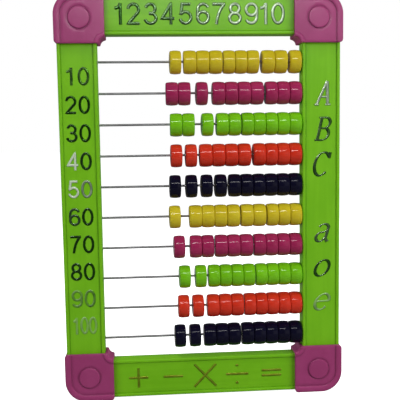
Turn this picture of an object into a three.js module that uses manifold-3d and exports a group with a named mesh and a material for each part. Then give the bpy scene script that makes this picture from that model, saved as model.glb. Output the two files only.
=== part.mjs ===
// Children's counting frame (abacus) with ten wires of ten sliding beads.
//
// Four hollow plastic rails are joined by four moulded corner caps. Ten steel wires cross
// the opening from the left rail to the right rail, and ten beads slide on each wire. The
// beads of a wire are gathered into short runs, and each run is one sliding piece.
//
// Axes: +X to the right, +Y to the back, +Z up, in millimetres. The origin is at the middle
// of the footprint, on the surface that the two lower caps stand on.

import * as THREE from 'three';
import { mergeVertices } from 'three/addons/utils/BufferGeometryUtils.js';
import Module from 'manifold-3d';

const wasm = await Module();
wasm.setup();

// ---------------------------------------------------------------- driving dimensions

const width = 200;             // over the corner caps
const height = 286;            // over the corner caps

const railWidth = 27;          // face of a rail, across its length
const railDepth = 11;          // front lip to back lip
const railWall = 1.6;          // wall of the hollow section
const lipWidth = 2.1;          // raised lip along each long edge of a face
const lipHeight = 0.8;         // lip above the recessed panel

const capWall = 1.1;           // outer wall of a cap
const capPlate = 1.9;          // front plate of a cap
const capBackPlate = 2.7;      // back plate of a cap
const capOverlap = 6.6;        // reach of a cap over the end of a rail
const capCornerRadius = 15;    // outer corner
const capEndRadius = 2.5;      // where an outer wall ends on a rail
const capRimWidth = 4.7;       // raised rim along the two outer sides
const capReliefHeight = 0.8;   // rim, disc and inner ring above the front plate
const discDiameter = 15.8;     // raised disc in the middle of a cap
const innerCutRadius = 4;      // concave cut at the inner corner of a cap
const innerRingWidth = 3.4;    // raised ring around that cut
const postDiameter = 11;       // post between the two plates, behind the disc
const pegRoot = 3;             // start of a peg inside the post, from the post's middle
const pegReach = 5;            // peg of a cap inside a rail, past the cap's edge

const wireDiameter = 1.6;
const wireEndGap = 0.4;        // end of a wire to the outer wall of its rail
const topMargin = 18;          // opening's top edge to the first wire

const beadDiameter = 16.4;
const beadLength = 8.2;
const beadEdge = 1.1;          // rounding at the rims of a bead, along its axis
const beadEdgeDrop = 0.9;      // the same rounding, across its axis
const grooveDrop = 1.5;        // groove between two beads of a run
const boreClearance = 0.5;     // bead to wire, all round

const fit = 0.3;               // between two pieces that fit together
const beadCapGap = 0.7;        // lowest row of beads to the caps below it
const railBeadGap = 0.5;       // last bead of a row to the right rail

// The rows from the top down. runs: beads in each run, from left to right. slack: room between
// neighbouring beads of each run. gaps: free wire after each run but the last.
const rows = [
  { colour: 'yellow', runs: [1, 3, 3, 2, 1], slack: [0, 1.3, 0.3, 1.5, 0], gaps: [1.5, 0.6, 2.2, 1.8] },
  { colour: 'magenta', runs: [2, 1, 4, 3], slack: [1, 0, 1.1, 0.4], gaps: [3.8, 3.3, 1.6] },
  { colour: 'green', runs: [2, 1, 2, 5], slack: [1, 0, 0.9, 0.4], gaps: [4.9, 2.2, 0.6] },
  { colour: 'red', runs: [1, 1, 4, 4], slack: [0, 0, 1.2, 0.5], gaps: [2.2, 1.9, 2] },
  { colour: 'black', runs: [1, 1, 1, 1, 6], slack: [0, 0, 0, 0, 0.6], gaps: [3.3, 2.7, 1.8, 1.6] },
  { colour: 'yellow', runs: [1, 4, 2, 3], slack: [0, 1.1, 1.6, 0.2], gaps: [6.1, 0.8, 0.8] },
  { colour: 'magenta', runs: [1, 2, 3, 4], slack: [0, 0.8, 1.3, 0.6], gaps: [3.5, 0.8, 0.8] },
  { colour: 'green', runs: [1, 1, 4, 4], slack: [0, 0, 0.3, 0.2], gaps: [3.3, 1.3, 0.6] },
  { colour: 'red', runs: [1, 1, 3, 5], slack: [0, 0, 0.9, 0.2], gaps: [2.2, 2.4, 0.6] },
  { colour: 'black', runs: [1, 1, 3, 5], slack: [0, 0, 1, 0.7], gaps: [2.6, 2.3, 1] },
];

const arcSteps = 8;            // facets of a cap's outer corner
const smallArcSteps = 3;       // facets of its small roundings
const discSides = 28;
const beadSides = 12;
const wireSides = 10;

// ---------------------------------------------------------------- worked-out sizes

const capProud = capWall + fit;                        // cap beyond the rail's outer edge
const railBand = capProud + railWidth;                 // cap's outer side to the opening
const capSize = railBand + capOverlap;
const openingWidth = width - 2 * railBand;
const openingHeight = height - 2 * railBand;
const railSeat = railBand + fit;                       // cap's outer side to a rail's end
const panelFace = railDepth / 2 - lipHeight;           // mid-depth to the recessed panel
const hollowWidth = railWidth - 2 * railWall;
const hollowDepth = 2 * (panelFace - railWall);
const plateInside = railDepth / 2 + fit;               // mid-depth to a plate's inner side
const plateFront = plateInside + capPlate;
const capBack = plateInside + capBackPlate;
const bottomMargin = capOverlap + beadDiameter / 2 + beadCapGap;
const rowPitch = (openingHeight - topMargin - bottomMargin) / (rows.length - 1);
const wireLength = width - 2 * (capProud + railWall + wireEndGap);
const beadRadius = beadDiameter / 2;
const boreRadius = wireDiameter / 2 + boreClearance;

// ---------------------------------------------------------------- materials

function plastic(name, colour, roughness) {
  const material = new THREE.MeshStandardMaterial({ color: colour, roughness, metalness: 0 });
  material.name = name;
  return material;
}

const railPlastic = plastic('rail green', 0x6cab2a, 0.38);
const capPlastic = plastic('cap plum', 0x94497a, 0.42);
const wireSteel = new THREE.MeshStandardMaterial({ color: 0xb9bcc0, roughness: 0.25, metalness: 1 });
const beadPlastic = {
  yellow: plastic('bead yellow', 0xd8b51c, 0.22),
  magenta: plastic('bead magenta', 0xa51f63, 0.22),
  green: plastic('bead green', 0x73c41f, 0.22),
  red: plastic('bead red', 0xe23a1b, 0.22),
  black: plastic('bead black', 0x17172a, 0.22),
};

// ---------------------------------------------------------------- solids

function toSolid(geometry) {
  const shape = geometry.index ? geometry.toNonIndexed() : geometry.clone();
  shape.deleteAttribute('normal');
  shape.deleteAttribute('uv');
  const merged = mergeVertices(shape, 1e-4);
  return new wasm.Manifold(new wasm.Mesh({
    numProp: 3,
    vertProperties: new Float32Array(merged.attributes.position.array),
    triVerts: new Uint32Array(merged.index.array),
  }));
}

function toGeometry(solid) {
  const mesh = solid.getMesh();
  const geometry = new THREE.BufferGeometry();
  geometry.setAttribute('position', new THREE.BufferAttribute(mesh.vertProperties, 3));
  geometry.setIndex(new THREE.BufferAttribute(mesh.triVerts, 1));
  geometry.computeVertexNormals();
  return geometry;
}

// A shape drawn in X and Z, filled from y = front to y = back.
function slab(shape, front, back) {
  const geometry = new THREE.ExtrudeGeometry(shape, {
    depth: back - front,
    bevelEnabled: false,
    curveSegments: 1,
  });
  geometry.rotateX(Math.PI / 2);
  geometry.translate(0, back, 0);
  return toSolid(geometry);
}

function block(x0, x1, y0, y1, z0, z1) {
  const geometry = new THREE.BoxGeometry(x1 - x0, y1 - y0, z1 - z0);
  geometry.translate((x0 + x1) / 2, (y0 + y1) / 2, (z0 + z1) / 2);
  return toSolid(geometry);
}

// A round bar along Y, from y = front to y = back.
function barAlongY(x, z, radius, front, back, sides) {
  const geometry = new THREE.CylinderGeometry(radius, radius, back - front, sides);
  geometry.translate(x, (front + back) / 2, z);
  return toSolid(geometry);
}

function barAlongX(length, radius, sides) {
  const geometry = new THREE.CylinderGeometry(radius, radius, length, sides);
  geometry.rotateZ(Math.PI / 2);
  return geometry;
}

// Points of an arc, both ends included, as [x, z] pairs.
function arc(x, z, radius, fromDegrees, toDegrees, steps) {
  return Array.from({ length: steps + 1 }, (_, i) => {
    const angle = THREE.MathUtils.degToRad(fromDegrees + ((toDegrees - fromDegrees) * i) / steps);
    return [x + radius * Math.cos(angle), z + radius * Math.sin(angle)];
  });
}

function shapeOf(points) {
  return new THREE.Shape(points.map(([x, z]) => new THREE.Vector2(x, z)));
}

// ---------------------------------------------------------------- rails

// Section of a rail: a box with a raised lip along each long edge of both faces, hollow
// through its whole length.
function railSection() {
  const side = railWidth / 2;
  const lip = side - lipWidth;
  const face = railDepth / 2;
  const section = shapeOf([
    [-side, -face], [-lip, -face], [-lip, -panelFace], [lip, -panelFace], [lip, -face],
    [side, -face], [side, face], [lip, face], [lip, panelFace], [-lip, panelFace],
    [-lip, face], [-side, face],
  ]);
  const u = hollowWidth / 2;
  const v = hollowDepth / 2;
  section.holes.push(new THREE.Path([
    new THREE.Vector2(-u, -v), new THREE.Vector2(-u, v),
    new THREE.Vector2(u, v), new THREE.Vector2(u, -v),
  ]));
  return section;
}

function railBar(length) {
  const bar = new THREE.ExtrudeGeometry(railSection(), { depth: length, bevelEnabled: false });
  bar.translate(0, 0, -length / 2);
  return bar;
}

function wireHeight(row) {
  return height - railBand - topMargin - row * rowPitch;
}

// An upright rail, with a hole for each wire in the wall that faces the opening.
function uprightRail(side) {
  let solid = toSolid(railBar(height - 2 * railSeat));
  const holeRadius = wireDiameter / 2 + fit;
  const wallMiddle = -side * (railWidth - railWall) / 2;
  rows.forEach((_, row) => {
    const hole = barAlongX(railWall + 2 * fit, holeRadius, wireSides);
    hole.translate(wallMiddle, 0, wireHeight(row) - height / 2);
    solid = solid.subtract(toSolid(hole));
  });
  const mesh = new THREE.Mesh(toGeometry(solid), railPlastic);
  mesh.position.set(side * (width / 2 - capProud - railWidth / 2), 0, height / 2);
  return mesh;
}

function levelRail(side) {
  const mesh = new THREE.Mesh(railBar(width - 2 * railSeat), railPlastic);
  mesh.rotation.y = Math.PI / 2;
  mesh.position.set(0, 0, height / 2 + side * (height / 2 - capProud - railWidth / 2));
  return mesh;
}

// ---------------------------------------------------------------- corner caps

// A cap is drawn with its outer corner at 0,0 and its rails leaving along +X and +Z.

function capOutline() {
  const r = capCornerRadius;
  const e = capEndRadius;
  return shapeOf([
    ...arc(r, r, r, 180, 270, arcSteps),
    ...arc(capSize - e, e, e, 270, 360, smallArcSteps),
    ...arc(capSize, capSize, innerCutRadius, 270, 180, smallArcSteps),
    ...arc(e, capSize - e, e, 90, 180, smallArcSteps),
  ]);
}

// The two channels that the rails enter, meeting behind the outer corner.
function capHollow() {
  const r = Math.max(capCornerRadius - capWall, fit);
  const mouth = capSize + fit;
  return shapeOf([
    ...arc(capWall + r, capWall + r, r, 180, 270, arcSteps),
    [mouth, capWall], [mouth, railSeat], [railSeat, railSeat], [railSeat, mouth],
    [capWall, mouth],
  ]);
}

function capRim() {
  const r = capCornerRadius;
  const e = capEndRadius;
  const inner = Math.max(r - capRimWidth, fit);
  return shapeOf([
    ...arc(r, r, r, 180, 270, arcSteps),
    ...arc(capSize - e, e, e, 270, 360, smallArcSteps),
    [capSize, capRimWidth],
    ...arc(capRimWidth + inner, capRimWidth + inner, inner, 270, 180, arcSteps),
    [capRimWidth, capSize],
    ...arc(e, capSize - e, e, 90, 180, smallArcSteps),
  ]);
}

function capInnerRing() {
  const c = capSize;
  return shapeOf([
    ...arc(c, c, innerCutRadius, 270, 180, smallArcSteps),
    ...arc(c, c, innerCutRadius + innerRingWidth, 180, 270, smallArcSteps + 2),
  ]);
}

function capSolid() {
  const middle = capSize / 2;
  const railMiddle = capProud + railWidth / 2;
  const pegHalfWidth = hollowWidth / 2 - fit;
  const pegHalfDepth = hollowDepth / 2 - fit;
  const pegStart = middle - pegRoot;
  const pegEnd = capSize + pegReach;
  const near = railMiddle - pegHalfWidth;
  const far = railMiddle + pegHalfWidth;
  const relief = -plateFront - capReliefHeight;

  return slab(capOutline(), -plateFront, capBack)
    .subtract(slab(capHollow(), -plateInside, plateInside))
    .add(barAlongY(middle, middle, postDiameter / 2, -plateFront, capBack, discSides / 2))
    .add(block(near, far, -pegHalfDepth, pegHalfDepth, pegStart, pegEnd))
    .add(block(pegStart, pegEnd, -pegHalfDepth, pegHalfDepth, near, far))
    .add(slab(capRim(), relief, -plateFront))
    .add(slab(capInnerRing(), relief, -plateFront))
    .add(barAlongY(middle, middle, discDiameter / 2, relief, -plateFront, discSides));
}

// quarterTurns: from the lower left corner, seen from the front, towards the upper left.
function cornerCap(geometry, side, level, quarterTurns) {
  const mesh = new THREE.Mesh(geometry, capPlastic);
  mesh.rotation.y = quarterTurns * Math.PI / 2;
  mesh.position.set(side * width / 2, 0, level * height);
  return mesh;
}

// ---------------------------------------------------------------- wires and beads

function wire(row) {
  const mesh = new THREE.Mesh(barAlongX(wireLength, wireDiameter / 2, wireSides), wireSteel);
  mesh.position.set(0, 0, wireHeight(row));
  return mesh;
}

function runLength(beads, slack) {
  return beads * beadLength + (beads - 1) * slack;
}

// Beads side by side around the wire's bore, from x = 0 towards +X.
function runGeometry(beads, slack) {
  const length = runLength(beads, slack);
  const profile = [[boreRadius, 0], [beadRadius - beadEdgeDrop, 0]];
  for (let bead = 0; bead < beads; bead += 1) {
    const start = bead * (beadLength + slack);
    const end = start + beadLength;
    if (bead > 0) {
      profile.push([beadRadius - grooveDrop, start - slack / 2]);
    }
    profile.push([beadRadius, start + beadEdge], [beadRadius, end - beadEdge]);
  }
  profile.push([beadRadius - beadEdgeDrop, length], [boreRadius, length], [boreRadius, 0]);
  const points = profile.map(([radius, along]) => new THREE.Vector2(radius, along));
  const geometry = new THREE.LatheGeometry(points, beadSides);
  geometry.rotateZ(-Math.PI / 2);
  return geometry;
}

function beadRow(row) {
  const { colour, runs, slack, gaps } = rows[row];
  const lengths = runs.map((beads, index) => runLength(beads, slack[index]));
  const used = [...lengths, ...gaps].reduce((sum, part) => sum + part, railBeadGap);
  const group = new THREE.Group();
  let x = openingWidth / 2 - used;
  runs.forEach((beads, index) => {
    const mesh = new THREE.Mesh(runGeometry(beads, slack[index]), beadPlastic[colour]);
    mesh.name = `row_${row + 1}_beads_${index + 1}`;
    mesh.position.x = x;
    group.add(mesh);
    x += lengths[index] + (gaps[index] ?? 0);
  });
  group.position.z = wireHeight(row);
  return group;
}

// ---------------------------------------------------------------- assembly

const abacus = new THREE.Group();

function addNamed(name, mesh) {
  mesh.name = name;
  abacus.add(mesh);
}

addNamed('left_rail', uprightRail(-1));
addNamed('right_rail', uprightRail(1));
addNamed('bottom_rail', levelRail(-1));
addNamed('top_rail', levelRail(1));

const capGeometry = toGeometry(capSolid());
addNamed('cap_bottom_left', cornerCap(capGeometry, -1, 0, 0));
addNamed('cap_top_left', cornerCap(capGeometry, -1, 1, 1));
addNamed('cap_top_right', cornerCap(capGeometry, 1, 1, 2));
addNamed('cap_bottom_right', cornerCap(capGeometry, 1, 0, 3));

rows.forEach((_, row) => {
  addNamed(`wire_${row + 1}`, wire(row));
  abacus.add(beadRow(row));
});

export default abacus;
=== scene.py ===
# %% [markdown]
# # A child's abacus, finished in Blender
# The object is a standing counting frame: four extruded green rails, four plum corner caps,
# ten steel wires and a hundred beads in five colours. The CAD model already fixes every size,
# every body and every joint. This lesson only gives each body its visible skin: softer edges,
# real mouldings, foil numerals and materials. We load the frame first, with a small function that
# gives each part's box.

# %% Load the frame
import math
import bmesh
import bpy
import numpy as np
from mathutils import Matrix, Vector
from mathutils.geometry import delaunay_2d_cdt, tessellate_polygon


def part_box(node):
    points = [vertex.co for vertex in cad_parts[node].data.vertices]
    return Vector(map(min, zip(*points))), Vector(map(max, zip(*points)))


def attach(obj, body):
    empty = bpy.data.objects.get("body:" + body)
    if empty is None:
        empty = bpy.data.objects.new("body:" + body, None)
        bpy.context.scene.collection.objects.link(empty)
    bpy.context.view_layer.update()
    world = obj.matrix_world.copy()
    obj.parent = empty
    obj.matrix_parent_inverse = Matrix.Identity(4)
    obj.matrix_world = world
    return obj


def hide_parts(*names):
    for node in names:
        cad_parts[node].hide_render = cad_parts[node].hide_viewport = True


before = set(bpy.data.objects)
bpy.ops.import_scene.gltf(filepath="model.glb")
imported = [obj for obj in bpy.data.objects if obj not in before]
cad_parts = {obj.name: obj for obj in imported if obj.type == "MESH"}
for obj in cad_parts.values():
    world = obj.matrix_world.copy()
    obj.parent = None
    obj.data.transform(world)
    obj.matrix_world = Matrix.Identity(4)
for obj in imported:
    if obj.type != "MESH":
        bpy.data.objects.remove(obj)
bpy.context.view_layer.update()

MM = 0.001

# %% [markdown]
# ## The camera
# A camera looks along its own -Z. We give the place of the lens, a point that it looks at and
# a small roll, and build the three axes from them. The view comes from slightly left of the
# middle and slightly above it, about half a metre away, which is why the lower rail looks narrower.

# %% Camera
def new_object(name, data):
    """An object at the origin, linked to the scene."""
    obj = bpy.data.objects.new(name, data)
    bpy.context.collection.objects.link(obj)
    return obj


def aim(obj, place, target, roll_degrees=0.0):
    """Puts an object at place, with its -Z towards target."""
    forward = (Vector(target) - Vector(place)).normalized()
    turn = forward.to_track_quat("-Z", "Y").to_matrix().to_4x4()
    roll = Matrix.Rotation(math.radians(roll_degrees), 4, "Z")
    obj.matrix_world = Matrix.Translation(Vector(place)) @ turn @ roll


camera_place = (-0.0348, -0.46187, 0.18449)
camera_target = (-0.00156, 0.0, 0.14215)
camera_roll = -0.87
lens_data = bpy.data.cameras.new("studio_camera")
lens_data.lens = 58.5
lens_data.sensor_width = 36.0
lens_data.clip_start = 0.01
camera = new_object("studio_camera", lens_data)
aim(camera, camera_place, camera_target, camera_roll)
bpy.context.scene.camera = camera
print("camera at", camera_place, "lens", lens_data.lens, "mm")

# %% [markdown]
# ## A small language for node trees
# Shader and geometry trees are both graphs. One class builds nodes, and another wraps an output
# socket, so that sums and products of sockets read like ordinary arithmetic.

# %% Sockets that can be added and scaled
class Signal:
    """One output socket of a tree. Arithmetic on it adds Math nodes."""

    def __init__(self, graph, socket):
        self.graph = graph
        self.socket = socket

    def math(self, operation, first, second):
        return self.graph.node("ShaderNodeMath", {"operation": operation}, {0: first, 1: second})

    def __add__(self, other):
        return self.math("ADD", self, other)

    def __sub__(self, other):
        return self.math("SUBTRACT", self, other)

    def __mul__(self, other):
        return self.math("MULTIPLY", self, other)

    def __rsub__(self, other):
        return self.math("SUBTRACT", other, self)

    __radd__ = __add__
    __rmul__ = __mul__

    def above(self, edge, width):
        """0 below edge, 1 above edge + width, and a ramp between."""
        settings = {"interpolation_type": "SMOOTHSTEP"}
        values = {0: self, 1: edge, 2: edge + width}
        return self.graph.node("ShaderNodeMapRange", settings, values)


# %% Graphs that make nodes
class Graph:
    """A node tree, filled by one method."""

    def __init__(self, tree):
        self.tree = tree

    def node(self, kind, settings=None, values=None, output=0):
        """Adds a node: its settings first, then numbers or links for its sockets."""
        made = self.tree.nodes.new(kind)
        for name, value in (settings or {}).items():
            if name == "stops":
                self.set_stops(made.color_ramp, value)
            else:
                setattr(made, name, value)
        for name, value in (values or {}).items():
            if isinstance(value, Signal):
                self.tree.links.new(value.socket, made.inputs[name])
            else:
                made.inputs[name].default_value = value
        return Signal(self, made.outputs[output]) if made.outputs else made

    @staticmethod
    def set_stops(ramp, stops):
        while len(ramp.elements) < len(stops):
            ramp.elements.new(1.0)
        for element, (place, colour) in zip(ramp.elements, stops):
            element.position = place
            element.color = colour

    def blend(self, amount, first, second):
        """A colour between first and second."""
        settings = {"data_type": "RGBA"}
        return self.node("ShaderNodeMix", settings, {0: amount, 6: first, 7: second}, 2)

    def noise(self, where, scale, detail=2.0, roughness=0.5):
        values = {"Vector": where, "Scale": scale, "Detail": detail, "Roughness": roughness}
        return self.node("ShaderNodeTexNoise", None, values)

    def stretched(self, where, scale):
        """The same coordinates, scaled by a different amount along each axis."""
        return self.node("ShaderNodeMapping", None, {"Vector": where, "Scale": scale})

    def vector(self, x=0.0, y=0.0, z=0.0):
        return self.node("ShaderNodeCombineXYZ", None, {"X": x, "Y": y, "Z": z})

    def bump(self, height, strength, distance):
        values = {"Height": height, "Strength": strength, "Distance": distance}
        return self.node("ShaderNodeBump", None, values)

    def surface(self, values):
        """Ends a material in one Principled shader."""
        shader = self.node("ShaderNodeBsdfPrincipled", None, values)
        self.node("ShaderNodeOutputMaterial", None, {"Surface": shader})


def new_finish(name):
    """An empty material and its graph."""
    material = bpy.data.materials.new(name)
    material.use_nodes = True
    material.node_tree.nodes.clear()
    return material, Graph(material.node_tree)


def colour(red, green, blue):
    return (red, green, blue, 1.0)


def darker(tint, share):
    return colour(*[share * part for part in tint[:3]])


# %% [markdown]
# ## Moulded and extruded plastic
# Fresh plastic is never one flat colour. The pigment drifts a little where the melt flowed,
# there are faint cloudy patches, the skin has a fine orange peel, and handling leaves
# smudges and hair-thin scratches that change the gloss more than the colour. Recesses of a
# moulding get painted shade: the colour darkens where an occlusion test finds the part's own
# surfaces close by. One function makes every plastic; the flow direction follows the way each
# part was made.

# %% Plastic
recess_reach = 3.0 * MM
cloud_scale = 45.0
speck_scale = 1700.0
smudge_scale = 85.0
peel_scale = 620.0


def plastic(name, tint, deep, flow, gloss, specular, peel=0.12, scuff=0.5, painted_recess_shade=0.0):
    """Coloured plastic. flow stretches the melt streaks, and the last argument paints shade into the
    recesses.
    """
    material, graph = new_finish(name)
    where = graph.node("ShaderNodeTexCoord", output=3)
    clouds = graph.noise(where, cloud_scale, 3.0)
    streaks = graph.noise(graph.stretched(where, flow), 1.0, 4.0, 0.6)
    pigment = (clouds * 0.55 + streaks * 0.45).above(0.36, 0.3)
    body = graph.blend(pigment, deep, tint)
    specks = graph.noise(where, speck_scale, 2.0).above(0.7, 0.06)
    dusted = graph.blend(specks * 0.22, body, darker(deep, 0.6))
    # Painted shade: an occlusion test darkens the colour in recesses and beside raised lips, where shade
    # falls.
    if painted_recess_shade:
        settings = {"only_local": True, "samples": 8}
        reach = {"Distance": recess_reach}
        openness = graph.node("ShaderNodeAmbientOcclusion", settings, reach, "AO")
        dusted = graph.blend((1.0 - openness) * painted_recess_shade, dusted, darker(deep, 0.3))
    smudges = graph.noise(where, smudge_scale, 4.0, 0.65).above(0.45, 0.25)
    fine = graph.stretched(where, (900.0, 900.0, 60.0))
    hairs = graph.noise(fine, 1.0, 1.0).above(0.66, 0.02)
    cross = graph.stretched(where, (70.0, 900.0, 1100.0))
    hairs_across = graph.noise(cross, 1.0, 1.0).above(0.68, 0.02)
    scratches = (hairs + hairs_across) * scuff
    roughness = gloss + smudges * 0.09 + scratches * 0.12
    orange_peel = graph.noise(where, peel_scale, 2.0)
    bump = graph.bump(orange_peel - scratches * 0.35, peel, 0.0004)
    values = {"Base Color": dusted, "Roughness": roughness, "Normal": bump}
    values["Specular IOR Level"] = specular
    graph.surface(values)
    return material


along_uprights = (260.0, 260.0, 12.0)
along_crossbars = (12.0, 260.0, 260.0)
around_caps = (70.0, 70.0, 70.0)
around_beads = (160.0, 90.0, 90.0)
rail_tint = colour(0.225, 0.62, 0.01)
rail_deep = colour(0.19, 0.56, 0.006)
# Rails and caps get painted shade in their recesses.
upright_green = plastic("upright_green", rail_tint, rail_deep, along_uprights, 0.36, 0.4, painted_recess_shade=0.8)
crossbar_green = plastic("crossbar_green", rail_tint, rail_deep, along_crossbars, 0.36, 0.4, painted_recess_shade=0.8)
plum_tint = colour(0.44, 0.06, 0.21)
plum_deep = colour(0.38, 0.045, 0.175)
cap_plum = plastic("cap_plum", plum_tint, plum_deep, around_caps, 0.34, 0.5, 0.16, painted_recess_shade=1.3)
print("rail and cap plastics made")

# %% Bead plastics
bead_shades = {
    "yellow": (colour(0.74, 0.6, 0.024), colour(0.66, 0.5, 0.014)),
    "magenta": (colour(0.43, 0.026, 0.115), colour(0.35, 0.016, 0.085)),
    "green": (colour(0.22, 0.66, 0.01), colour(0.18, 0.56, 0.006)),
    "red": (colour(0.8, 0.045, 0.018), colour(0.68, 0.03, 0.01)),
    "black": (colour(0.0045, 0.004, 0.02), colour(0.004, 0.0035, 0.015)),
}
bead_finish = {}
for shade, (tint, deep) in bead_shades.items():
    name = "bead_" + shade
    specular = 0.2 if shade == "black" else 0.42
    bead_finish[shade] = plastic(name, tint, deep, around_beads, 0.1, specular, 0.012, 0.2)
print("bead plastics:", ", ".join(bead_finish))

# %% [markdown]
# ## Steel and foil
# The wires are plain drawn steel: a grey, half-matt metal, with fine lines along the wire and a
# few duller patches where fingers left oil. The characters are hot foil pressed over a raised
# edge. The foil is a crinkled metal that wears thin, and its colours are painted reflection: a
# dark colour stands for the dark room that it mirrors, and a bright colour for a bright
# reflection. Four attributes on the characters steer it: how much painted bright reflection a
# character gets, its `share` of the ridge's height, which slope gets a painted glint because it
# faces the light, and how `worn` the foil has become.

# %% Metals
def drawn_steel(name):
    material, graph = new_finish(name)
    where = graph.node("ShaderNodeTexCoord", output=3)
    lines = graph.noise(graph.stretched(where, (30.0, 5200.0, 5200.0)), 1.0, 3.0)
    patches = graph.noise(where, 90.0, 3.0).above(0.5, 0.2)
    body = graph.blend(patches * 0.6, colour(0.38, 0.38, 0.39), colour(0.26, 0.26, 0.26))
    values = {"Base Color": body, "Metallic": 0.75, "Normal": graph.bump(lines, 0.12, 0.0002)}
    values["Roughness"] = 0.44 + patches * 0.1 + lines * 0.08
    graph.surface(values)
    return material


def pressed_foil(name, painted_dark_reflection, bright, under, crinkle):
    """Crinkled foil over a raised edge, coloured with painted reflection: a dark colour for the mirrored
    dark room, and a bright one for painted highlights and glints. Four attributes steer it.
    """
    material, graph = new_finish(name)
    where = graph.node("ShaderNodeTexCoord", output=3)
    read = {}
    for label in ("bright", "share", "crest", "worn"):
        settings = {"attribute_name": label}
        read[label] = graph.node("ShaderNodeAttribute", settings, None, "Fac")
    patches = graph.noise(where, 260.0, 3.0)
    # Painted glint and painted reflection: the slope facing up and left, and the top of a bright
    # character's ridge, get the bright colour. The rest keeps the dark colour that stands for the
    # mirrored room.
    edge = read["crest"].above(0.1, 0.6) * (0.4 + read["bright"] * 0.4)
    core = read["share"].above(0.25, 0.6) * read["bright"] * (0.45 + patches * 1.1)
    metal = graph.blend((edge + core).above(0.0, 1.0), painted_dark_reflection, bright)
    thin = (read["worn"] * 1.5 + patches * 0.8 - 0.4).above(0.0, 1.0)
    body = graph.blend(thin, metal, under)
    folds = graph.noise(where, 420.0, 2.0)
    values = {"Base Color": body, "Normal": graph.bump(folds, crinkle, 0.0006)}
    # Where the shine is painted, the foil is less metallic, so the painted bright colour shows.
    values["Metallic"] = (1.0 - thin) * (1.0 - read["bright"] * 0.8)
    values["Roughness"] = 0.2 + read["bright"] * 0.2 + thin * 0.15
    graph.surface(values)
    return material


wire_steel = drawn_steel("wire_steel")
silver = colour(0.72, 0.86, 0.64)
silver_foil = pressed_foil("silver_foil", colour(0.03, 0.12, 0.015), silver, rail_tint, 0.16)
gold = colour(0.42, 0.34, 0.03)
gold_foil = pressed_foil("gold_foil", colour(0.12, 0.17, 0.006), gold, rail_tint, 0.12)
print("metals:", wire_steel.name, silver_foil.name, gold_foil.name)

# %% [markdown]
# ## Helpers for meshes
# Every piece keeps its object at the origin, and its place is in its mesh. Faces that meet at a
# small angle are shaded as one surface, and sharper ones keep their edge.

# %% Finish a piece
def smooth(mesh, angle_degrees=32.0):
    mesh.shade_smooth()
    mesh.set_sharp_from_angle(angle=math.radians(angle_degrees))


def piece_from(name, mesh, finish, body, slot, nodes=()):
    """Makes the object, gives it its finish and ties it to its CAD body."""
    obj = new_object(name, mesh)
    mesh.materials.clear()
    mesh.materials.append(finish)
    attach(obj, body)
    if nodes:
        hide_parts(*nodes)
    return obj


def mesh_of(work, name):
    """Turns a bmesh into a mesh and frees it."""
    mesh = bpy.data.meshes.new(name)
    work.to_mesh(mesh)
    work.free()
    return mesh


def mesh_from(name, points, faces):
    """A mesh whose faces point outwards."""
    mesh = bpy.data.meshes.new(name)
    mesh.from_pydata([tuple(p) for p in points], [], [tuple(f) for f in faces])
    work = bmesh.new()
    work.from_mesh(mesh)
    bmesh.ops.remove_doubles(work, verts=work.verts, dist=0.001 * MM)
    bmesh.ops.recalc_face_normals(work, faces=work.faces)
    work.to_mesh(mesh)
    work.free()
    return mesh


def band(first, last):
    """The quads between two closed loops, each given by its point numbers."""
    following = list(first[1:]) + [first[0]]
    opposite = list(last[1:]) + [last[0]]
    return list(zip(first, following, opposite, last))


def boolean(mesh, tool, operation):
    """The mesh after a union with, or a cut by, another mesh."""
    obj = new_object("work", mesh)
    other = new_object("tool", tool)
    modifier = obj.modifiers.new("join", "BOOLEAN")
    modifier.operation = operation
    modifier.solver = "EXACT"
    modifier.object = other
    graph = bpy.context.evaluated_depsgraph_get()
    result = bpy.data.meshes.new_from_object(obj.evaluated_get(graph))
    bpy.data.objects.remove(obj)
    bpy.data.objects.remove(other)
    return result


def block(low, high):
    """A closed box between two corners, in millimetres."""
    work = bmesh.new()
    bmesh.ops.create_cube(work, size=1.0)
    for vertex in work.verts:
        for axis in range(3):
            side = vertex.co[axis] + 0.5
            vertex.co[axis] = (low[axis] + side * (high[axis] - low[axis])) * MM
    return mesh_of(work, "block")


# %% Round the corners of a flat outline
def rounded(corners, steps=6):
    """corners: (x, y, radius) in order. Returns the outline with an arc at every corner."""
    outline = []
    count = len(corners)
    for index, (x, y, radius) in enumerate(corners):
        here = Vector((x, y))
        before = (Vector(corners[index - 1][:2]) - here).normalized()
        after = (Vector(corners[(index + 1) % count][:2]) - here).normalized()
        half = before.angle(after) / 2
        reach = radius / math.tan(half)
        centre = here + (before + after).normalized() * (radius / math.sin(half))
        start = here + before * reach - centre
        end = here + after * reach - centre
        sweep = math.atan2(start.x * end.y - start.y * end.x, start.dot(end))
        for step in range(steps + 1):
            angle = sweep * step / steps
            arm = Matrix.Rotation(angle, 2) @ start
            outline.append(tuple(centre + arm))
    return outline


print("mesh helpers ready")

# %% [markdown]
# ## The rails
# Each rail is a hollow extrusion: a recessed panel between two rounded lips, on both faces, with
# a hair-thin groove at the foot of each lip. The section is drawn once, in millimetres across the
# width and the depth, and pushed along the rail. The uprights are drilled for the ten wires.

# %% Rail section
rail_width = 27.0
rail_half_depth = 5.5
lip_width = 2.1
lip_height = 0.8
rail_wall = 1.6
groove = 0.22


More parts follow.
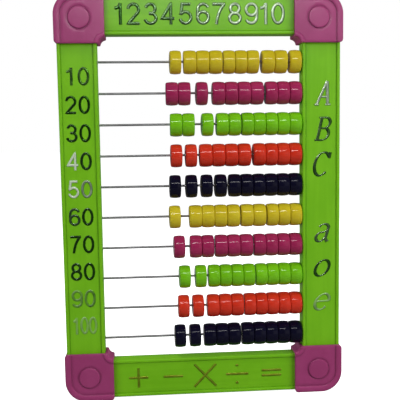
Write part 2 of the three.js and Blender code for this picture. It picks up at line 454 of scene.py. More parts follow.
def rail_outline():
    """The outside of the section, from one lip of the front face round to the other."""
    panel = rail_half_depth - lip_height
    foot = lip_width + 0.35
    face = [
        (0.0, rail_half_depth, 0.75),
        (lip_width, rail_half_depth, 0.55),
        (foot, panel - groove, 0.1),
        (foot + 0.45, panel, 0.12),
        (rail_width - foot - 0.45, panel, 0.12),
        (rail_width - foot, panel - groove, 0.1),
        (rail_width - lip_width, rail_half_depth, 0.55),
        (rail_width, rail_half_depth, 0.75),
    ]
    back = [(x, -y, radius) for x, y, radius in reversed(face)]
    return rounded(face + back)


def rail_hollow():
    inside = rail_half_depth - lip_height - rail_wall
    far = rail_width - rail_wall
    corners = [(rail_wall, inside), (far, inside), (far, -inside), (rail_wall, -inside)]
    return rounded([(x, y, 0.6) for x, y in corners])


def rail_mesh(name, along):
    """Pushes the section along x or z, inside the box of the CAD rail."""
    low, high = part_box(name)
    ends = (low[along], high[along])
    across = 2 - along
    points = []
    faces = []
    loops = []
    for outline in (rail_outline(), rail_hollow()):
        for end in ends:
            loops.append(range(len(points), len(points) + len(outline)))
            for s, d in outline:
                point = [0.0, -d * MM, 0.0]
                point[across] = low[across] + s * MM
                point[along] = end
                points.append(point)
    faces += band(loops[0], loops[1]) + band(loops[2], loops[3])
    for outer, inner in ((loops[0], loops[2]), (loops[1], loops[3])):
        rim = [[Vector(points[i]) for i in loop] for loop in (outer, inner)]
        ids = list(outer) + list(inner)
        for triangle in tessellate_polygon(rim):
            faces.append([ids[i] for i in triangle])
    return mesh_from(name + "_skin", points, faces)


# %% Drill the uprights
wire_boxes = [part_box(f"wire_{row}") for row in range(1, 11)]
wire_heights = [(low.z + high.z) / 2 for low, high in wire_boxes]
drill_radius = 0.95 * MM
drill_depth = 5.0 * MM


def drills(wall_x):
    """Ten short drills across the inner wall of an upright."""
    work = bmesh.new()
    turn = Matrix.Rotation(math.radians(90), 4, "Y")
    size = {"radius1": drill_radius, "radius2": drill_radius, "depth": drill_depth}
    for height in wire_heights:
        place = Matrix.Translation((wall_x, 0.0, height))
        bmesh.ops.create_cone(work, cap_ends=True, segments=24, matrix=place @ turn, **size)
    return mesh_of(work, "drills")


rail_plan = {
    "left_rail": (2, upright_green),
    "right_rail": (2, upright_green),
    "bottom_rail": (0, crossbar_green),
    "top_rail": (0, crossbar_green),
}
for node, (along, finish) in rail_plan.items():
    mesh = rail_mesh(node, along)
    low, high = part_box(node)
    if finish is upright_green:
        inner_wall = high.x if node == "left_rail" else low.x
        mesh = boolean(mesh, drills(inner_wall), "DIFFERENCE")
    smooth(mesh)
    piece = piece_from(node + "_shell", mesh, finish, "frame", "rail_green", [node])
    print(piece.name, len(mesh.polygons), "faces")

# %% [markdown]
# ## The corner caps
# A cap is one moulding. Its front has a rounded rim along the two outer sides, a raised disc
# in the middle and a raised quarter ring round the scooped inner corner. All of that is a
# height above the front plate that depends only on the place (a, b) measured from the outer
# corner, so we scatter points where the height changes fast, join them with a Delaunay
# triangulation, and lift each point. Walls and a back plate close the body, and two slots
# for the rails are cut out of it.

# %% Cap plan
cap_size = 34.4
cap_corner = 15.0
cap_wall_end = 2.5
cap_scoop = 4.0
cap_edge = 0.55
plate_front = 7.7
cap_back = 8.5


def on_circle(centre, radius, angle):
    return (centre[0] + radius * math.cos(angle), centre[1] + radius * math.sin(angle))


def cap_outline(spacing=0.55):
    """The outline of the cap seen from the front, as an anticlockwise loop of (a, b)."""
    size = cap_size
    loop = []

    def arc(centre, radius, start, end):
        steps = max(3, int(abs(math.radians(end - start)) * radius / spacing))
        for step in range(steps + 1):
            angle = math.radians(start + (end - start) * step / steps)
            loop.append(on_circle(centre, radius, angle))

    def side(end):
        start = loop[-1]
        steps = int(math.dist(start, end) / spacing)
        for step in range(1, steps):
            t = step / steps
            loop.append((start[0] + t * (end[0] - start[0]), start[1] + t * (end[1] - start[1])))

    tip = 0.8
    arc((cap_corner, cap_corner), cap_corner, 180, 270)
    side((size - cap_wall_end, 0.0))
    arc((size - cap_wall_end, cap_wall_end), cap_wall_end, 270, 360)
    side((size, size - cap_scoop - tip))
    reach = math.sqrt((cap_scoop + tip) ** 2 - tip ** 2)
    turn = math.degrees(math.asin(tip / (cap_scoop + tip)))
    arc((size - tip, size - reach), tip, 0, 90 - turn)
    arc((size, size), cap_scoop, 270 - turn, 180 + turn)
    arc((size - reach, size - tip), tip, turn, 90)
    side((cap_wall_end, size))
    arc((cap_wall_end, size - cap_wall_end), cap_wall_end, 90, 180)
    side((0.0, cap_corner))
    return loop


def inset(loop, amount):
    """The loop moved inwards by amount, along its own normals."""
    ring = np.array(loop)
    ahead = np.roll(ring, -1, axis=0) - np.roll(ring, 1, axis=0)
    ahead /= np.linalg.norm(ahead, axis=1)[:, None]
    inward = np.stack([-ahead[:, 1], ahead[:, 0]], axis=1)
    return [tuple(p) for p in ring + inward * amount]


# %% Cap relief
relief_height = 0.8
rim_width = 4.5
disc_radius = 7.4
disc_centre = cap_size / 2
ring_inner = 4.0
ring_outer = 7.4
groove_depth = 0.24
outline_points = np.array(cap_outline())


def to_outer_sides(a, b):
    """Distance from the two outer sides, which meet in a large radius."""
    if a < cap_corner and b < cap_corner:
        return cap_corner - math.hypot(cap_corner - a, cap_corner - b)
    return min(a, b)


def dome(position, middle, half_width, sharpness=0.55):
    """A rounded ridge: 1 in the middle and 0 at both sides."""
    u = (position - middle) / half_width
    return max(0.0, 1.0 - u * u) ** sharpness


def cap_height(a, b):
    """Height above the front plate, in millimetres."""
    rim_at = to_outer_sides(a, b)
    rim = relief_height * dome(rim_at, 2.15, rim_width - 2.15)
    groove_at_rim = -groove_depth * dome(rim_at, rim_width + 0.4, 0.7, 1.0)
    from_disc = math.hypot(a - disc_centre, b - disc_centre)
    edge = min(1.0, max(0.0, (from_disc - disc_radius + 0.75) / 0.75))
    disc = (0.72 + 0.08 * max(0.0, 1 - (from_disc / disc_radius) ** 2)) * math.sqrt(1 - edge * edge)
    groove_at_disc = -groove_depth * dome(from_disc, disc_radius + 0.35, 0.7, 1.0)
    from_scoop = math.hypot(a - cap_size, b - cap_size)
    ring_middle = (ring_inner + ring_outer) / 2
    ring = 0.95 * relief_height * dome(from_scoop, ring_middle, ring_outer - ring_middle)
    low_parts = min(groove_at_rim, groove_at_disc)
    high_parts = max(rim, disc, ring)
    return high_parts if high_parts > 0.0 else low_parts


def edge_drop(distance):
    """How far a rounded edge has dropped at a distance from the outline."""
    if distance >= cap_edge:
        return 0.0
    return cap_edge - math.sqrt(cap_edge ** 2 - (cap_edge - distance) ** 2)


# %% Cap mesh
def circle(centre, radius, spacing):
    count = max(8, int(2 * math.pi * radius / spacing))
    return [on_circle((centre, centre), radius, 2 * math.pi * k / count) for k in range(count)]


def cap_points():
    """Points in the cap's plan, closer together where the relief bends."""
    loops = [inset(cap_outline(), amount) for amount in (0.08, 0.22, cap_edge)]
    found = [p for loop in loops for p in loop]
    rim_steps = (1.0, 1.5, 2.2, 2.8, 3.3, 3.8, 4.1, 4.32, 4.46, 4.52, 4.9, 5.25, 5.7)
    for step in rim_steps:
        radius = cap_corner - step
        for k in range(25):
            angle = math.radians(180 + 90 * k / 24)
            found.append(on_circle((cap_corner, cap_corner), radius, angle))
        for k in range(1, 27):
            run = cap_corner + (cap_size - cap_corner) * k / 26
            found += [(run, step), (step, run)]
    disc_steps = (0.01, 2.0, 3.8, 5.2, 6.1, 6.65, 6.85, 7.05, 7.2, 7.3, 7.37, 7.42, 7.7, 8.0, 8.3, 8.5)
    for radius in disc_steps:
        found += circle(disc_centre, radius, 0.7)
    ring_steps = (4.2, 4.45, 4.8, 5.2, 5.7, 6.2, 6.6, 6.95, 7.2, 7.35, 7.42, 7.8)
    for radius in ring_steps:
        found += circle(cap_size, radius, 0.55)
    grid = [3.0 + 1.4 * k for k in range(23)]
    for a in grid:
        for b in grid:
            clear_of_disc = math.hypot(a - disc_centre, b - disc_centre) > 9.2
            clear_of_ring = math.hypot(a - cap_size, b - cap_size) > 8.3
            if clear_of_disc and clear_of_ring and to_outer_sides(a, b) > 6.3:
                found.append((a, b))
    return found


def inside_cap(a, b):
    """Distance inside the outline, negative outside it."""
    delta = outline_points - np.array((a, b))
    nearest = int(np.argmin((delta ** 2).sum(axis=1)))
    count = len(outline_points)
    here = outline_points[nearest]
    ahead = outline_points[(nearest + 1) % count] - outline_points[nearest - 1]
    ahead = ahead / np.linalg.norm(ahead)
    offset = np.array((a, b)) - here
    return float(-ahead[1] * offset[0] + ahead[0] * offset[1])


def triangulate(loop, inner):
    """Triangles between a loop and the points inside it."""
    flat = [Vector(p) for p in list(loop) + list(inner)]
    edges = [(k, (k + 1) % len(loop)) for k in range(len(loop))]
    made = delaunay_2d_cdt(flat, edges, [], 1, 1e-5)
    return [tuple(p) for p in made[0]], [tuple(f) for f in made[2]]


def cap_body():
    """The closed solid, before the rail slots, with (a, b) as x and z."""
    loop = cap_outline()
    clear = [p for p in cap_points() if inside_cap(*p) > 0.05]
    points = []
    faces = []
    flat, triangles = triangulate(loop, clear)
    for a, b in flat:
        depth = max(0.0, inside_cap(a, b))
        lift = cap_height(a, b) - edge_drop(depth)
        points.append((a, -(plate_front + lift), b))
    faces += triangles
    start = len(points)
    back_rings = [p for amount in (0.1, 0.25, cap_edge) for p in inset(loop, amount)]
    flat, triangles = triangulate(loop, back_rings)
    for a, b in flat:
        depth = max(0.0, inside_cap(a, b))
        points.append((a, cap_back - edge_drop(depth), b))
    faces += [tuple(start + i for i in t) for t in triangles]
    faces += band(range(len(loop)), range(start, start + len(loop)))
    return mesh_from("cap_body", [tuple(c * MM for c in p) for p in points], faces)


slot_low = 1.1
slot_high = 28.7
slot_floor = 28.4
slot_half_depth = 5.8
peg_low = 3.3
peg_high = 26.5
peg_half_depth = 2.8
peg_end = cap_size + 5.0
cap_mesh = cap_body()
beyond = cap_size + 1.0
slots = [
    ((slot_low, -slot_half_depth, slot_floor), (slot_high, slot_half_depth, beyond)),
    ((slot_floor, -slot_half_depth, slot_low), (beyond, slot_half_depth, slot_high)),
]
pegs = [
    ((peg_low, -peg_half_depth, slot_floor - 2), (peg_high, peg_half_depth, peg_end)),
    ((slot_floor - 2, -peg_half_depth, peg_low), (peg_end, peg_half_depth, peg_high)),
]
for low, high in slots:
    cap_mesh = boolean(cap_mesh, block(low, high), "DIFFERENCE")
for low, high in pegs:
    cap_mesh = boolean(cap_mesh, block(low, high), "UNION")
smooth(cap_mesh, 30.0)
print("cap", len(cap_mesh.polygons), "faces")

# %% Put a cap on each corner
cap_turns = {
    "cap_bottom_left": 0,
    "cap_top_left": 1,
    "cap_top_right": 2,
    "cap_bottom_right": 3,
}
for node, turns in cap_turns.items():
    low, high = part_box(node)
    half = cap_size * MM / 2
    left = node.endswith("left")
    bottom = "bottom" in node
    corner_x = low.x + half if left else high.x - half
    corner_z = low.z + half if bottom else high.z - half
    to_middle = Matrix.Translation((-half, 0.0, -half))
    turn = Matrix.Rotation(math.radians(90 * turns), 4, "Y")
    mesh = cap_mesh.copy()
    mesh.transform(Matrix.Translation((corner_x, 0.0, corner_z)) @ turn @ to_middle)
    piece = piece_from(node + "_moulding", mesh, cap_plum, "frame", "cap_plum", [node])
    print(piece.name, [round(v, 4) for v in (corner_x, corner_z)])

# %% [markdown]
# ## The wires
# Ten equal rods at an equal pitch are a job for Geometry Nodes: a line of points down the
# frame, one rod on each point, made real at the end. The tree's inputs are the sizes.

# %% Geometry Nodes helpers
def geometry_tree(name, inputs):
    """A tree with named inputs and one geometry output."""
    tree = bpy.data.node_groups.new(name, "GeometryNodeTree")
    tree.interface.new_socket("Geometry", in_out="INPUT", socket_type="NodeSocketGeometry")
    for label, kind in inputs.items():
        tree.interface.new_socket(label, in_out="INPUT", socket_type="NodeSocket" + kind)
    tree.interface.new_socket("Geometry", in_out="OUTPUT", socket_type="NodeSocketGeometry")
    graph = Graph(tree)
    entry = tree.nodes.new("NodeGroupInput")
    sockets = {label: Signal(graph, entry.outputs[label]) for label in inputs}
    return graph, sockets


def close_tree(graph, shape, finish):
    """Makes the instances real, sets the material and ends the tree."""
    real = graph.node("GeometryNodeRealizeInstances", None, {0: shape})
    painted = graph.node("GeometryNodeSetMaterial", None, {"Geometry": real, "Material": finish})
    graph.node("NodeGroupOutput", None, {0: painted})


def grow(tree, values):
    """Runs a tree with these input values, and returns the mesh that it makes."""
    holder = new_object("holder", bpy.data.meshes.new("holder"))
    modifier = holder.modifiers.new("grow", "NODES")
    modifier.node_group = tree
    for item in tree.interface.items_tree:
        if item.in_out == "INPUT" and item.name in values:
            modifier[item.identifier] = values[item.name]
    view = bpy.context.evaluated_depsgraph_get()
    mesh = bpy.data.meshes.new_from_object(holder.evaluated_get(view))
    holder.modifiers.remove(modifier)
    bpy.data.objects.remove(holder)
    return mesh


# %% Wires
wire_inputs = {
    "Count": "Int", "First": "Vector", "Pitch": "Float",
    "Length": "Float", "Radius": "Float", "Finish": "Material",
}
graph, sizes = geometry_tree("wire_rack", wire_inputs)
step = graph.vector(z=sizes["Pitch"] * -1.0)
line_values = {"Count": sizes["Count"], "Start Location": sizes["First"], "Offset": step}
line = graph.node("GeometryNodeMeshLine", {"mode": "OFFSET"}, line_values)
rod_values = {"Vertices": 40, "Side Segments": 1, "Radius": sizes["Radius"], "Depth": sizes["Length"]}
rod = graph.node("GeometryNodeMeshCylinder", None, rod_values)
lying = graph.node("GeometryNodeTransform", None, {"Geometry": rod, "Rotation": (0.0, math.pi / 2, 0.0)})
placed = graph.node("GeometryNodeInstanceOnPoints", None, {"Points": line, "Instance": lying})
close_tree(graph, placed, sizes["Finish"])

low, high = wire_boxes[0]
wire_values = {
    "Count": len(wire_boxes),
    "First": tuple((low + high) / 2),
    "Pitch": (wire_heights[0] - wire_heights[-1]) / (len(wire_boxes) - 1),
    "Length": high.x - low.x,
    "Radius": (high.z - low.z) / 2,
    "Finish": wire_steel,
}
wire_mesh = grow(graph.tree, wire_values)
smooth(wire_mesh, 50.0)
wire_nodes = [f"wire_{row}" for row in range(1, 11)]
piece_from("wire_rack", wire_mesh, wire_steel, "frame", "wire_steel", wire_nodes)
print("wires, pitch in mm", round(wire_values["Pitch"] / MM, 3))

# %% [markdown]
# ## The beads
# A bead is a short barrel turned on a lathe: a slightly crowned band, rounded rims, flat side
# faces and a bore with a small chamfer. Every run of beads on a wire is one body, and the
# beads of a run sit at an equal step. Geometry Nodes strings them: a line of points, one bead
# on each, turned on the wire and tipped by a hair because the bore is wider than the wire. A
# run keeps a little clearance at its ends, for the neighbour that it meets.

# %% One bead
bead_radius = 8.2
bead_length = 8.2
bore_radius = 1.3


def bead_profile():
    """Half the section of a bead: (distance along the wire, radius), in millimetres."""
    half = bead_length / 2
    crown = 0.25
    rim_along = 1.2
    rim_across = 1.0
    shoulder = half - rim_along
    edge_radius = bead_radius - crown
    points = [(-half, bore_radius + 0.35), (-half, 4.4)]
    for k in range(7):
        angle = math.radians(15 * k)
        along = shoulder + rim_along * math.cos(angle)
        points.append((-along, edge_radius - rim_across * (1 - math.sin(angle))))
    for k in range(1, 8):
        along = -shoulder + 2 * shoulder * k / 8
        points.append((along, edge_radius + crown * (1 - (along / shoulder) ** 2)))
    right = [(-along, radius) for along, radius in reversed(points[:9])]
    bore = [(half - 0.35, bore_radius), (0.0, bore_radius), (-half + 0.35, bore_radius)]
    return points + right + bore


def turned(profile, around=56):
    """Spins a closed section about the x axis."""
    points = []
    faces = []
    count = len(profile)
    for k in range(around):
        angle = 2 * math.pi * k / around
        for along, radius in profile:
            points.append((along * MM, radius * math.cos(angle) * MM, radius * math.sin(angle) * MM))
    sections = [range(k * count, (k + 1) * count) for k in range(around)]
    for k, section in enumerate(sections):
        faces += band(section, sections[(k + 1) % around])
    return mesh_from("bead", points, faces)


bead_mesh = turned(bead_profile())
smooth(bead_mesh, 40.0)
bead_pattern = new_object("bead_pattern", bead_mesh)
print("bead", len(bead_mesh.polygons), "faces")

# %% String the beads
string_inputs = {
    "Bead": "Object", "Count": "Int", "First": "Vector",
    "Step": "Float", "Stretch": "Float", "Lean": "Float",
    "Tip": "Float", "Seed": "Int", "Finish": "Material",
}
graph, sizes = geometry_tree("bead_string", string_inputs)
step = graph.vector(x=sizes["Step"])
line_values = {"Count": sizes["Count"], "Start Location": sizes["First"], "Offset": step}
line = graph.node("GeometryNodeMeshLine", {"mode": "OFFSET"}, line_values)
one_bead = graph.node("GeometryNodeObjectInfo", None, {"Object": sizes["Bead"]}, "Geometry")
most = graph.vector(math.pi, sizes["Tip"], sizes["Lean"] + sizes["Tip"])
least = graph.vector(0.0, sizes["Tip"] * -1.0, sizes["Lean"] - sizes["Tip"])
turn_values = {0: least, 1: most, "Seed": sizes["Seed"]}
turn = graph.node("FunctionNodeRandomValue", {"data_type": "FLOAT_VECTOR"}, turn_values)
width = graph.vector(sizes["Stretch"], 1.0, 1.0)
placed_values = {"Points": line, "Instance": one_bead, "Rotation": turn, "Scale": width}
placed = graph.node("GeometryNodeInstanceOnPoints", None, placed_values)
close_tree(graph, placed, sizes["Finish"])
string_tree = graph.tree

row_shades = ["yellow", "magenta", "green", "red", "black"] * 2
tip_degrees = 0.6
lean_degrees = 2.4
leaning_length = 7.8
end_clearance = 0.06
widest_bead = 8.9
bead_gap = 0.16
bead_drop = 0.45
bead_count = 0


def bead_inset(wide, loose):
    """From the end of a run to the middle of its last bead, in metres."""
    return (bead_length / 2 if loose else wide / 2 + end_clearance) * MM


run_nodes = sorted(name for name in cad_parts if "_beads_" in name)
for number, node in enumerate(run_nodes):
    row = int(node.split("_")[1])
    shade = row_shades[row - 1]
    low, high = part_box(node)
    span = (high.x - low.x) / MM
    count = int(span / bead_length + 0.02)
    gaps = max(1, count - 1)
    wide = min((span - gaps * bead_gap - 2 * end_clearance) / count, widest_bead)
    loose = count == 1 and high.x < 0.05
    if loose:
        wide = leaning_length
    middle = (low + high) / 2
    values = {
        "Bead": bead_pattern,
        "Count": count,
        "First": (low.x + bead_inset(wide, loose), middle.y, middle.z - bead_drop * MM),
        "Step": (span * MM - 2 * bead_inset(wide, loose)) / gaps,
        "Stretch": wide / bead_length,
        "Lean": math.radians(lean_degrees if loose else 0.0),
        "Tip": math.radians(tip_degrees),
        "Seed": 100 + number,
        "Finish": bead_finish[shade],
    }
    mesh = grow(string_tree, values)
    name = f"row_{row}_string_{node.split('_')[-1]}"
    piece_from(name, mesh, bead_finish[shade], node, "bead_" + shade, [node])
    bead_count += count
bpy.data.objects.remove(bead_pattern)
print("beads", bead_count, "in", len(run_nodes), "runs")

# %% [markdown]
# ## The foil characters
# The rails carry generic teaching characters: 1 to 10 along the top, the tens down the left, six
# letters down the right and five signs along the bottom. Each one is drawn as pen strokes on a
# unit height, so we need no font. A stroke becomes a low domed ridge, because its slopes
# are what catch the light; the slope that faces up and left also gets a painted glint. The figures
# have an even stroke. The letters are written with a broad pen, whose line is thick or thin with
# its direction, and then slanted.

# %% Strokes
def bow(centre, size, start, end, steps=28):
    """Part of an ellipse, from one angle to another in degrees."""
    points = []
    for k in range(steps + 1):
        angle = math.radians(start + (end - start) * k / steps)
        points.append((centre[0] + size[0] * math.cos(angle), centre[1] + size[1] * math.sin(angle)))
    return points


def bend(start, pull, end, steps=12):
    """A quadratic curve pulled towards a point."""
    points = []
    for k in range(steps + 1):
        t = k / steps
        keep = (1 - t) ** 2
        mid = 2 * t * (1 - t)
        points.append(tuple(keep * s + mid * p + t * t * e for s, p, e in zip(start, pull, end)))
    return points


figures = {
    "0": [bow((0.30, 0.5), (0.235, 0.445), 90, 450, 48)],
    "1": [[(0.36, 0.0), (0.36, 0.985)], bend((0.12, 0.755), (0.32, 0.76), (0.355, 0.97))],
    "2": [bow((0.29, 0.69), (0.225, 0.255), 172, -38) + [(0.07, 0.055), (0.54, 0.055)]],
    "3": [
        bow((0.285, 0.72), (0.2, 0.225), 165, -80) + [(0.22, 0.515)],
        [(0.22, 0.515)] + bow((0.285, 0.285), (0.235, 0.235), 80, -168),
    ],
    "4": [[(0.42, 0.0), (0.42, 0.95), (0.045, 0.28), (0.57, 0.28)]],
    "5": [[(0.5, 0.94), (0.15, 0.94), (0.095, 0.49)] + bow((0.285, 0.32), (0.235, 0.265), 140, -165)],
    "6": [
        bow((0.31, 0.68), (0.235, 0.265), 25, 160, 16) + bend((0.085, 0.75), (0.06, 0.6), (0.065, 0.36)),
        bow((0.30, 0.32), (0.235, 0.265), 0, 360, 40),
    ],
    "7": [[(0.04, 0.94), (0.53, 0.94)] + bend((0.53, 0.92), (0.27, 0.6), (0.2, 0.0))],
    "8": [
        bow((0.30, 0.73), (0.195, 0.215), 0, 360, 40),
        bow((0.30, 0.285), (0.235, 0.235), 0, 360, 40),
    ],
}
figures["9"] = [[(0.6 - x, 1.0 - y) for x, y in stroke] for stroke in figures["6"]]
signs = {
    "plus": [[(-0.5, 0.0), (0.5, 0.0)], [(0.0, -0.5), (0.0, 0.5)]],
    "minus": [[(-0.5, 0.0), (0.5, 0.0)]],
    "times": [[(-0.5, -0.5), (0.5, 0.5)], [(-0.5, 0.5), (0.5, -0.5)]],
    "divide": [
        [(-0.5, 0.0), (0.5, 0.0)], [(-0.05, 0.41), (0.05, 0.41)], [(-0.05, -0.41), (0.05, -0.41)],
    ],
    "equals": [[(-0.5, 0.145), (0.5, 0.145)], [(-0.5, -0.145), (0.5, -0.145)]],
}
letters = {
    "A": [
        [(0.02, 0.0), (0.36, 0.98)],
        [(0.36, 0.98), (0.62, 0.0)],
        [(0.14, 0.34), (0.53, 0.34)],
        [(-0.08, 0.02), (0.14, 0.02)],
        [(0.48, 0.02), (0.76, 0.02)],
    ],
    "B": [
        [(0.14, 0.0), (0.14, 0.98)],
        [(0.02, 0.97), (0.3, 0.97)] + bow((0.33, 0.745), (0.23, 0.225), 90, -90, 20) + [(0.16, 0.52)],
        [(0.16, 0.52), (0.32, 0.52)] + bow((0.35, 0.27), (0.25, 0.25), 90, -90, 20) + [(0.02, 0.02)],
    ],
    "C": [bow((0.38, 0.5), (0.33, 0.48), 38, 318, 40), [(0.66, 0.98), (0.655, 0.74)]],
    "a": [
        bow((0.27, 0.74), (0.21, 0.23), 160, 0, 16) + [(0.48, 0.18), (0.56, 0.03), (0.64, 0.06)],
        [(0.46, 0.62)] + bow((0.24, 0.27), (0.19, 0.25), 80, 330, 28) + [(0.47, 0.26)],
    ],
    "o": [bow((0.31, 0.5), (0.26, 0.47), 90, 450, 44)],
    "e": [[(0.08, 0.52), (0.53, 0.56)] + bow((0.3, 0.5), (0.25, 0.47), 12, 322, 40)],
}
print("characters drawn:", len(figures) + len(signs) + len(letters))


# %% From strokes to ridges
def even_pen(width):
    """A pen whose line is the same width in every direction."""
    return lambda direction: width


def broad_pen(thick, thin, angle_degrees):
    """A pen whose line depends on the direction it is drawn in."""
    nib = math.radians(angle_degrees)
    return lambda direction: thin + (thick - thin) * abs(math.sin(direction - nib)) ** 1.3


def resample(path, spacing):
    """The same path with points at an equal spacing, its ends and corners kept."""
    points = [Vector(path[0])]
    for target in path[1:]:
        target = Vector(target)
        start = points[-1].copy()
        steps = max(1, round((target - start).length / spacing))
        if (target - start).length < spacing * 0.4 and len(points) > 1:
            continue
        points += [start.lerp(target, k / steps) for k in range(1, steps + 1)]
    return points


ridge_height = 0.42
ridge_foot = 0.12
ridge_section = [(-1.0, -1.0), (-1.0, 0.0), (-0.72, 0.62), (-0.36, 0.93), (0.0, 1.0),
                 (0.36, 0.93), (0.72, 0.62), (1.0, 0.0), (1.0, -1.0)]
# The side from which the painted glint on the characters seems to come.
light_from = Vector((-0.5, 0.87))


def ridge(path, pen):
    """A closed ridge along a path in millimetres: (x, height, z, share, crest) and faces.

    share is 0 at the foot of the ridge and 1 on its top. The fifth value is positive on the slope that
    faces up and to the left, and negative on the other one; the foil paints a glint on the positive
    slope.
    """
    closed = (Vector(path[0]) - Vector(path[-1])).length < 1e-6
    line = resample(path, 0.35)
    if closed:
        line = line[:-1]
    points = []
    count = len(line)
    for index, here in enumerate(line):
        before = line[index - 1] if closed or index else here
        after = line[(index + 1) % count] if closed or index < count - 1 else here
        ahead = (after - before).normalized()
        half = pen(math.atan2(ahead.y, ahead.x)) / 2
        turn = 1.0
        if before is not here and after is not here:
            first = (here - before).normalized()
            second = (after - here).normalized()
            turn = min(1.6, 1.0 / max(0.3, math.sqrt((1 + first.dot(second)) / 2)))
        side = Vector((-ahead.y, ahead.x))
        for across, up in ridge_section:
            place = here + side * (half * turn * across)
            height = up * (ridge_height if up > 0 else ridge_foot)
            # Painted glint: how much this slope faces light_from, for the foil's bright colour.
            crest = across * side.dot(light_from)
            points.append((place.x, height, place.y, max(0.0, up), crest))
    size = len(ridge_section)
    sections = [range(index * size, (index + 1) * size) for index in range(count)]
    faces = []
    for index in range(count if closed else count - 1):
        faces += band(sections[index], sections[(index + 1) % count])
    if not closed:
        faces += [tuple(sections[0]), tuple(reversed(sections[-1]))]
    return points, faces


# %% Set the characters on the rails
panel_front = -(rail_half_depth - lip_height)


class Lettering:
    """All the characters of one rail, gathered into one mesh."""

    def __init__(self):
        self.points = []
        self.faces = []
        self.marks = {"bright": [], "share": [], "crest": [], "worn": []}

    def write(self, strokes, place, size, pen, bright=0.0, worn=0.0):
        """Adds one character. place is its lower left corner, or its middle, in millimetres."""
        for stroke in strokes:
            path = [(place[0] + x * size[0], place[1] + y * size[1]) for x, y in stroke]
            points, faces = ridge(path, pen)
            start = len(self.points)
            for x, up, z, share, crest in points:
                self.points.append((x * MM, (panel_front - up) * MM, z * MM))
                for values, value in zip(self.marks.values(), (bright, share, crest, worn)):
                    values.append(value)
            self.faces += [tuple(start + i for i in face) for face in faces]

    def write_in_box(self, strokes, middle, size, pen, slant, **look):
        """Slants a character, then fits it into a box of this size round its middle."""
        leaning = [[(x + slant * y, y) for x, y in stroke] for stroke in strokes]
        across = [x for stroke in leaning for x, y in stroke]
        upward = [y for stroke in leaning for x, y in stroke]
        scale = (size[0] / (max(across) - min(across)), size[1] / (max(upward) - min(upward)))
        corner = (middle[0] - size[0] / 2 - min(across) * scale[0],
                  middle[1] - size[1] / 2 - min(upward) * scale[1])
        self.write(leaning, corner, scale, pen, **look)

    def finish(self, name, finish, slot):
        mesh = bpy.data.meshes.new(name)
        mesh.from_pydata(self.points, [], self.faces)
        for label, values in self.marks.items():
            mesh.attributes.new(label, "FLOAT", "POINT").data.foreach_set("value", values)
        work = bmesh.new()
        work.from_mesh(mesh)
        bmesh.ops.recalc_face_normals(work, faces=work.faces)
        work.to_mesh(mesh)
        work.free()
        smooth(mesh, 62.0)
        return piece_from(name, mesh, finish, "frame", slot)


# %% Figures on the top rail
top_middle = 271.75
top_size = (16.0, 14.6)
top_places = [-55.6, -45.6, -33.8, -22.0, -9.8, 2.1, 13.0, 24.3, 35.9, 45.0]
# How much painted bright reflection each figure gets.
top_painted_shine = [0.08, 0.15, 0.2, 0.15, 0.25, 0.36, 0.34, 0.48, 0.52, 0.5]
numbers = Lettering()
for index, middle in enumerate(top_places):
    text = str(index + 1)
    left = middle - 0.3 * top_size[0]
    for order, mark in enumerate(text):
        corner = (left + order * 9.5, top_middle - top_size[1] / 2)
        numbers.write(figures[mark], corner, top_size, even_pen(2.2), bright=top_painted_shine[index])
numbers.finish("numbers_top", silver_foil, "wire_steel")

# %% Tens on the left rail
tens_middle = -85.45
tens_first = 229.7
tens_pitch = 19.45
tens_size = (13.2, 12.2)
# Painted bright reflection for each ten and for its zero, then how worn each one is.
tens_painted_shine = [0.12, 0.03, 0.05, 1.0, 1.0, 0.15, 0.0, 0.03, 0.25, 0.5]
zeros_painted_shine = [0.1, 0.0, 0.0, 0.08, 0.5, 0.05, 0.0, 0.0, 0.2, 0.5]
tens_worn = [0.15, 0.0, 0.0, 0.0, 0.0, 0.0, 0.0, 0.0, 0.3, 0.4]
tens = Lettering()
for index in range(10):
    text = str(10 * (index + 1))
    size = tens_size if len(text) == 2 else (tens_size[0] * 0.72, tens_size[1])
    advance = size[0] * 0.62 + (0.9 if len(text) == 2 else 0.1)
    total = advance * (len(text) - 1) + size[0] * 0.6
    base = tens_first - index * tens_pitch - size[1] / 2
    for order, mark in enumerate(text):
        corner = (tens_middle - total / 2 + order * advance, base)
        bright = zeros_painted_shine[index] if order else tens_painted_shine[index]
        look = {"bright": bright, "worn": tens_worn[index]}
        tens.write(figures[mark], corner, size, even_pen(1.85), **look)
tens.finish("tens_left", silver_foil, "wire_steel")

# %% Letters on the right rail
letter_middle = 86.1
# Each letter: its middle, its box, its painted bright reflection and how worn it is.
letter_plan = [
    ("A", 216.6, (11.4, 16.6), 0.55, 0.0), ("B", 191.4, (11.3, 16.4), 0.14, 0.1),
    ("C", 166.5, (11.6, 16.6), 0.12, 0.0), ("a", 117.0, (9.3, 12.6), 0.2, 0.1),
    ("o", 91.2, (10.4, 11.6), 0.06, 0.0), ("e", 66.3, (10.6, 11.6), 0.42, 0.3),
]
alphabet = Lettering()
for mark, middle, size, bright, worn in letter_plan:
    pen = broad_pen(2.5, 1.0, 20)
    look = {"bright": bright, "worn": worn}
    alphabet.write_in_box(letters[mark], (letter_middle, middle), size, pen, 0.24, **look)
alphabet.finish("letters_right", silver_foil, "wire_steel")

# %% Signs on the bottom rail
sign_height = 14.85
sign_plan = [
    ("plus", -48.1, (13.6, 14.2)), ("minus", -23.1, (13.8, 13.8)), ("times", 0.1, (15.6, 16.4)),
    ("divide", 23.3, (16.2, 15.8)), ("equals", 48.5, (14.0, 13.0)),
]
sums = Lettering()
for mark, middle, size in sign_plan:
    pen = even_pen(1.8)
    # Every sign gets the same painted bright reflection and the same wear.
    sums.write(signs[mark], (middle, sign_height), size, pen, bright=0.4, worn=0.22)
sums.finish("signs_bottom", gold_foil, "wire_steel")
print("characters set on four rails")

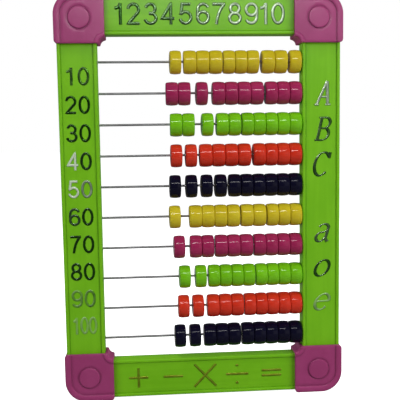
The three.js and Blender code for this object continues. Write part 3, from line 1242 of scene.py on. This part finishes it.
# %% [markdown]
# ## The studio
# The floor and the walls are one plain pale sweep. Glossy beads show what stands in front of
# them, so the room is kept dim and the light comes from a narrow strip above the lens, which draws
# the thin dash on every bead, and from wide soft panels at the sides, behind and overhead.

# %% Floor and world
floor_material, graph = new_finish("pale_floor")
where = graph.node("ShaderNodeTexCoord", output=3)
patches = graph.noise(where, 6.0, 3.0)
pale = graph.blend(patches, colour(0.86, 0.86, 0.86), colour(0.9, 0.9, 0.9))
matt = graph.node("ShaderNodeBsdfPrincipled", None, {"Base Color": pale, "Roughness": 0.9})
glow = graph.node("ShaderNodeEmission", None, {"Color": colour(1, 1, 1), "Strength": 1.0})
ray = graph.node("ShaderNodeLightPath", None, None, "Is Camera Ray")
dim = graph.node("ShaderNodeBsdfDiffuse", None, {"Color": colour(0.3, 0.3, 0.3)})
lit = graph.node("ShaderNodeAddShader", None, {0: matt, 1: glow})
seen = graph.node("ShaderNodeMixShader", None, {0: ray, 1: dim, 2: lit})
graph.node("ShaderNodeOutputMaterial", None, {"Surface": seen})
floor_mesh = bpy.data.meshes.new("floor")
reach = 12.0
floor_mesh.from_pydata([(-reach, -reach, 0), (reach, -reach, 0), (reach, reach, 0), (-reach, reach, 0)],
                       [], [(0, 1, 2, 3)])
floor = new_object("floor", floor_mesh)
floor_mesh.materials.append(floor_material)

world = bpy.data.worlds.new("pale_room")
world.use_nodes = True
world.node_tree.nodes.clear()
bpy.context.scene.world = world
graph = Graph(world.node_tree)
ray = graph.node("ShaderNodeLightPath", None, None, "Is Camera Ray")
seen = graph.node("ShaderNodeBackground", None, {"Color": colour(1, 1, 1), "Strength": 1.0})
room = graph.node("ShaderNodeBackground", None, {"Color": colour(1, 1, 1), "Strength": 0.1})
both = graph.node("ShaderNodeMixShader", None, {0: ray, 1: room, 2: seen})
graph.node("ShaderNodeOutputWorld", None, {"Surface": both})
bpy.context.scene.view_settings.view_transform = "Standard"


# %% Lamps
middle_point = (0.0, 0.0, 0.143)
square = (0.6, 0.6)


def soft_panel(name, place, size, power, fills=True, shows=True):
    """A lamp that faces the frame's middle. It fills in shade, shows in gloss, or both."""
    data = bpy.data.lights.new(name, "AREA")
    data.shape = "RECTANGLE"
    data.size = size[0]
    data.size_y = size[1]
    data.energy = power
    lamp = new_object(name, data)
    lamp.visible_diffuse = fills
    lamp.visible_glossy = shows
    aim(lamp, place, middle_point)


soft_panel("strip", (0.02, -0.28, 0.373), (0.3, 0.02), 0.4, fills=False)
soft_panel("right_card", (0.45, -0.75, 0.1), (0.5, 0.9), 0.55, fills=False)
soft_panel("left_fill", (-0.7, -0.6, 0.42), square, 2.5, shows=False)
soft_panel("right_fill", (0.7, -0.55, 0.4), square, 4.8, shows=False)
soft_panel("back_left_fill", (-0.6, 0.7, 0.42), square, 3.0, shows=False)
soft_panel("back_right_fill", (0.6, 0.7, 0.42), square, 3.0, shows=False)
soft_panel("top_fill", (-0.3, -0.3, 0.95), (0.35, 0.25), 1.8, shows=False)
print("studio ready")
